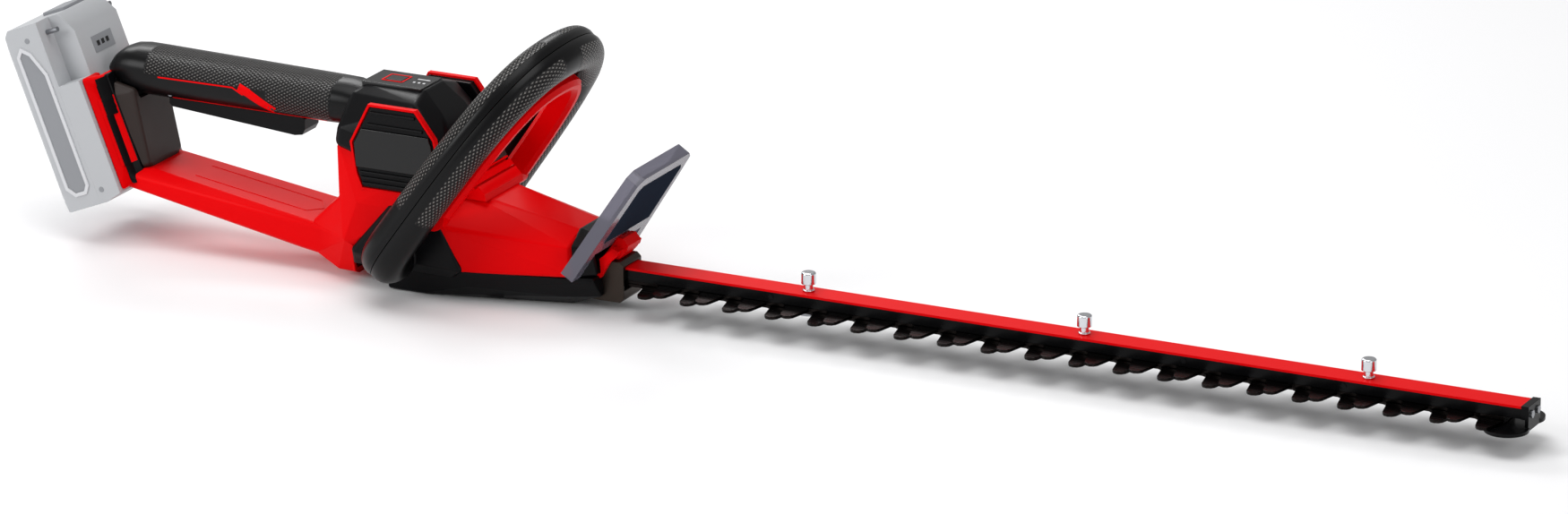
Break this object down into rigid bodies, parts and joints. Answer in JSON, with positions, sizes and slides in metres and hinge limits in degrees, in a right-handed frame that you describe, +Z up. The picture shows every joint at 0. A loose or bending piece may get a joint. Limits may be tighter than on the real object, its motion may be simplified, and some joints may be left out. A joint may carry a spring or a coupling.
{
  "type": "hedge trimmer",
  "caption": "Cordless hedge trimmer: twin reciprocating toothed blades on a slim bar, wrap-round front handle with a switch lever, rear grip, clear hand guard and slide-on battery pack.",
  "frame": {"origin": "on the flat underside of the gear cover, below the vertical motor shaft", "axes": "+X along the cutting bar towards the tip, +Z up, +Y towards the left of a person holding it"},
  "size_m": [0.9517, 0.1548, 0.1583],
  "materials": {
    "red_housing": "satin red moulded ABS",
    "black_cover": "fine-textured black nylon",
    "grip_rubber": "soft over-moulded rubber with a diamond knurl",
    "brown_plastic": "dark brown-grey moulded plastic",
    "nose_metal": "dark painted die casting",
    "bar_black": "black anodised extrusion",
    "bar_red": "red enamelled strip",
    "chrome": "bright plated steel",
    "blade_steel": "dark browned blade steel, glossy",
    "steel": "plain ground steel",
    "guard_clear": "smoky clear polycarbonate",
    "pack_plastic": "light grey moulded plastic",
    "cell_wrap": "shrink-wrapped cells",
    "board": "solder-masked board"
  },
  "bodies": {
    "body": {"housing_right": "red_housing", "housing_left": "red_housing", "gear_housing": "red_housing", "battery_dock": "red_housing", "louvre_block": "red_housing", "guard_bracket": "red_housing", "motor_cover": "black_cover", "gear_cover": "black_cover", "body_band": "black_cover", "dock_collar": "black_cover", "front_cap": "black_cover", "vent_panel_right": "black_cover", "vent_panel_left": "black_cover", "display_panel": "black_cover", "motor_frame": "black_cover", "tip_guard": "black_cover", "grip_right": "grip_rubber", "grip_left": "grip_rubber", "loop_rear_shell": "grip_rubber", "loop_front_shell": "grip_rubber", "rear_column": "brown_plastic", "front_panel": "brown_plastic", "terminal_block": "brown_plastic", "trigger_switch": "brown_plastic", "lever_switch": "brown_plastic", "nose_block": "nose_metal", "blade_bar": "bar_black", "bar_cap": "bar_red", "blade_studs": "chrome", "tip_screws": "chrome", "upper_bearing": "chrome", "lower_bearing": "chrome", "gear_bush_upper": "chrome", "gear_bush_lower": "chrome", "blade_keepers": "steel", "bar_screws": "steel", "loop_screws": "steel", "stator": "steel", "trigger_pin": "steel", "lever_pins": "steel", "trigger_spring": "steel", "housing_screws": "steel", "cover_screws": "steel", "hand_guard": "guard_clear", "control_board": "board"},
    "gear": {"drive_gear": "steel"},
    "rotor": {"rotor": "steel", "fan": "black_cover", "pinion": "steel"},
    "blade_top": {"upper_blade": "blade_steel"},
    "blade_bottom": {"lower_blade": "blade_steel"},
    "trigger": {"trigger": "black_cover"},
    "lever": {"front_lever": "red_housing"},
    "pack": {"pack_case": "pack_plastic", "pack_cover": "pack_plastic", "pack_cells": "cell_wrap", "pack_screws": "steel"},
    "latch": {"pack_latch": "brown_plastic"},
    "gauge": {"gauge_button": "brown_plastic"},
    "mode": {"mode_button": "red_housing"}
  },
  "joints": [
    {"name": "gear_spin", "type": "hinge", "parent": "body", "child": "gear", "pos_m": [0.035, 0, 0], "axis": [0, 0, 1], "continuous": true},
    {"name": "rotor_spin", "type": "hinge", "parent": "body", "child": "rotor", "pos_m": [0, 0, 0], "axis": [0, 0, 1], "continuous": true},
    {"name": "blade_stroke", "type": "slide", "parent": "body", "child": "blade_top", "axis": [1, 0, 0], "range_m": [-0.01175, 0.00175]},
    {"name": "blade_counterstroke", "type": "slide", "parent": "body", "child": "blade_bottom", "axis": [1, 0, 0], "range_m": [-0.00175, 0.01175]},
    {"name": "trigger_pull", "type": "hinge", "parent": "body", "child": "trigger", "pos_m": [-0.164, 0, 0.092], "axis": [0, -1, 0], "range_deg": [0, 5], "stiffness_Nm_per_rad": 0.6, "springref_deg": -14.32, "deforming": ["trigger_spring"]},
    {"name": "lever_squeeze", "type": "hinge", "parent": "body", "child": "lever", "pos_m": [0.03041, 0, 0.05338], "axis": [0, -1, 0], "range_deg": [0, 4], "stiffness_Nm_per_rad": 0.8, "springref_deg": -14.32},
    {"name": "pack_slide", "type": "slide", "parent": "body", "child": "pack", "axis": [-0.3746, 0, 0.9272], "range_m": [0, 0.09]},
    {"name": "latch_press", "type": "slide", "parent": "pack", "child": "latch", "axis": [0.3746, 0, -0.9272], "range_m": [0, 0.0035], "stiffness_N_per_m": 500, "springref_m": -0.001},
    {"name": "gauge_press", "type": "slide", "parent": "pack", "child": "gauge", "axis": [0.9272, 0, 0.3746], "range_m": [0, 0.0008], "stiffness_N_per_m": 400, "springref_m": -0.001},
    {"name": "mode_press", "type": "slide", "parent": "body", "child": "mode", "axis": [0, 0, -1], "range_m": [0, 0.001], "stiffness_N_per_m": 400, "springref_m": -0.001}
  ],
  "couplings": [
    {"joint": "rotor_spin", "follows": "gear_spin", "ratio": -6},
    {"joint": "blade_counterstroke", "follows": "blade_stroke", "ratio": -1}
  ]
}
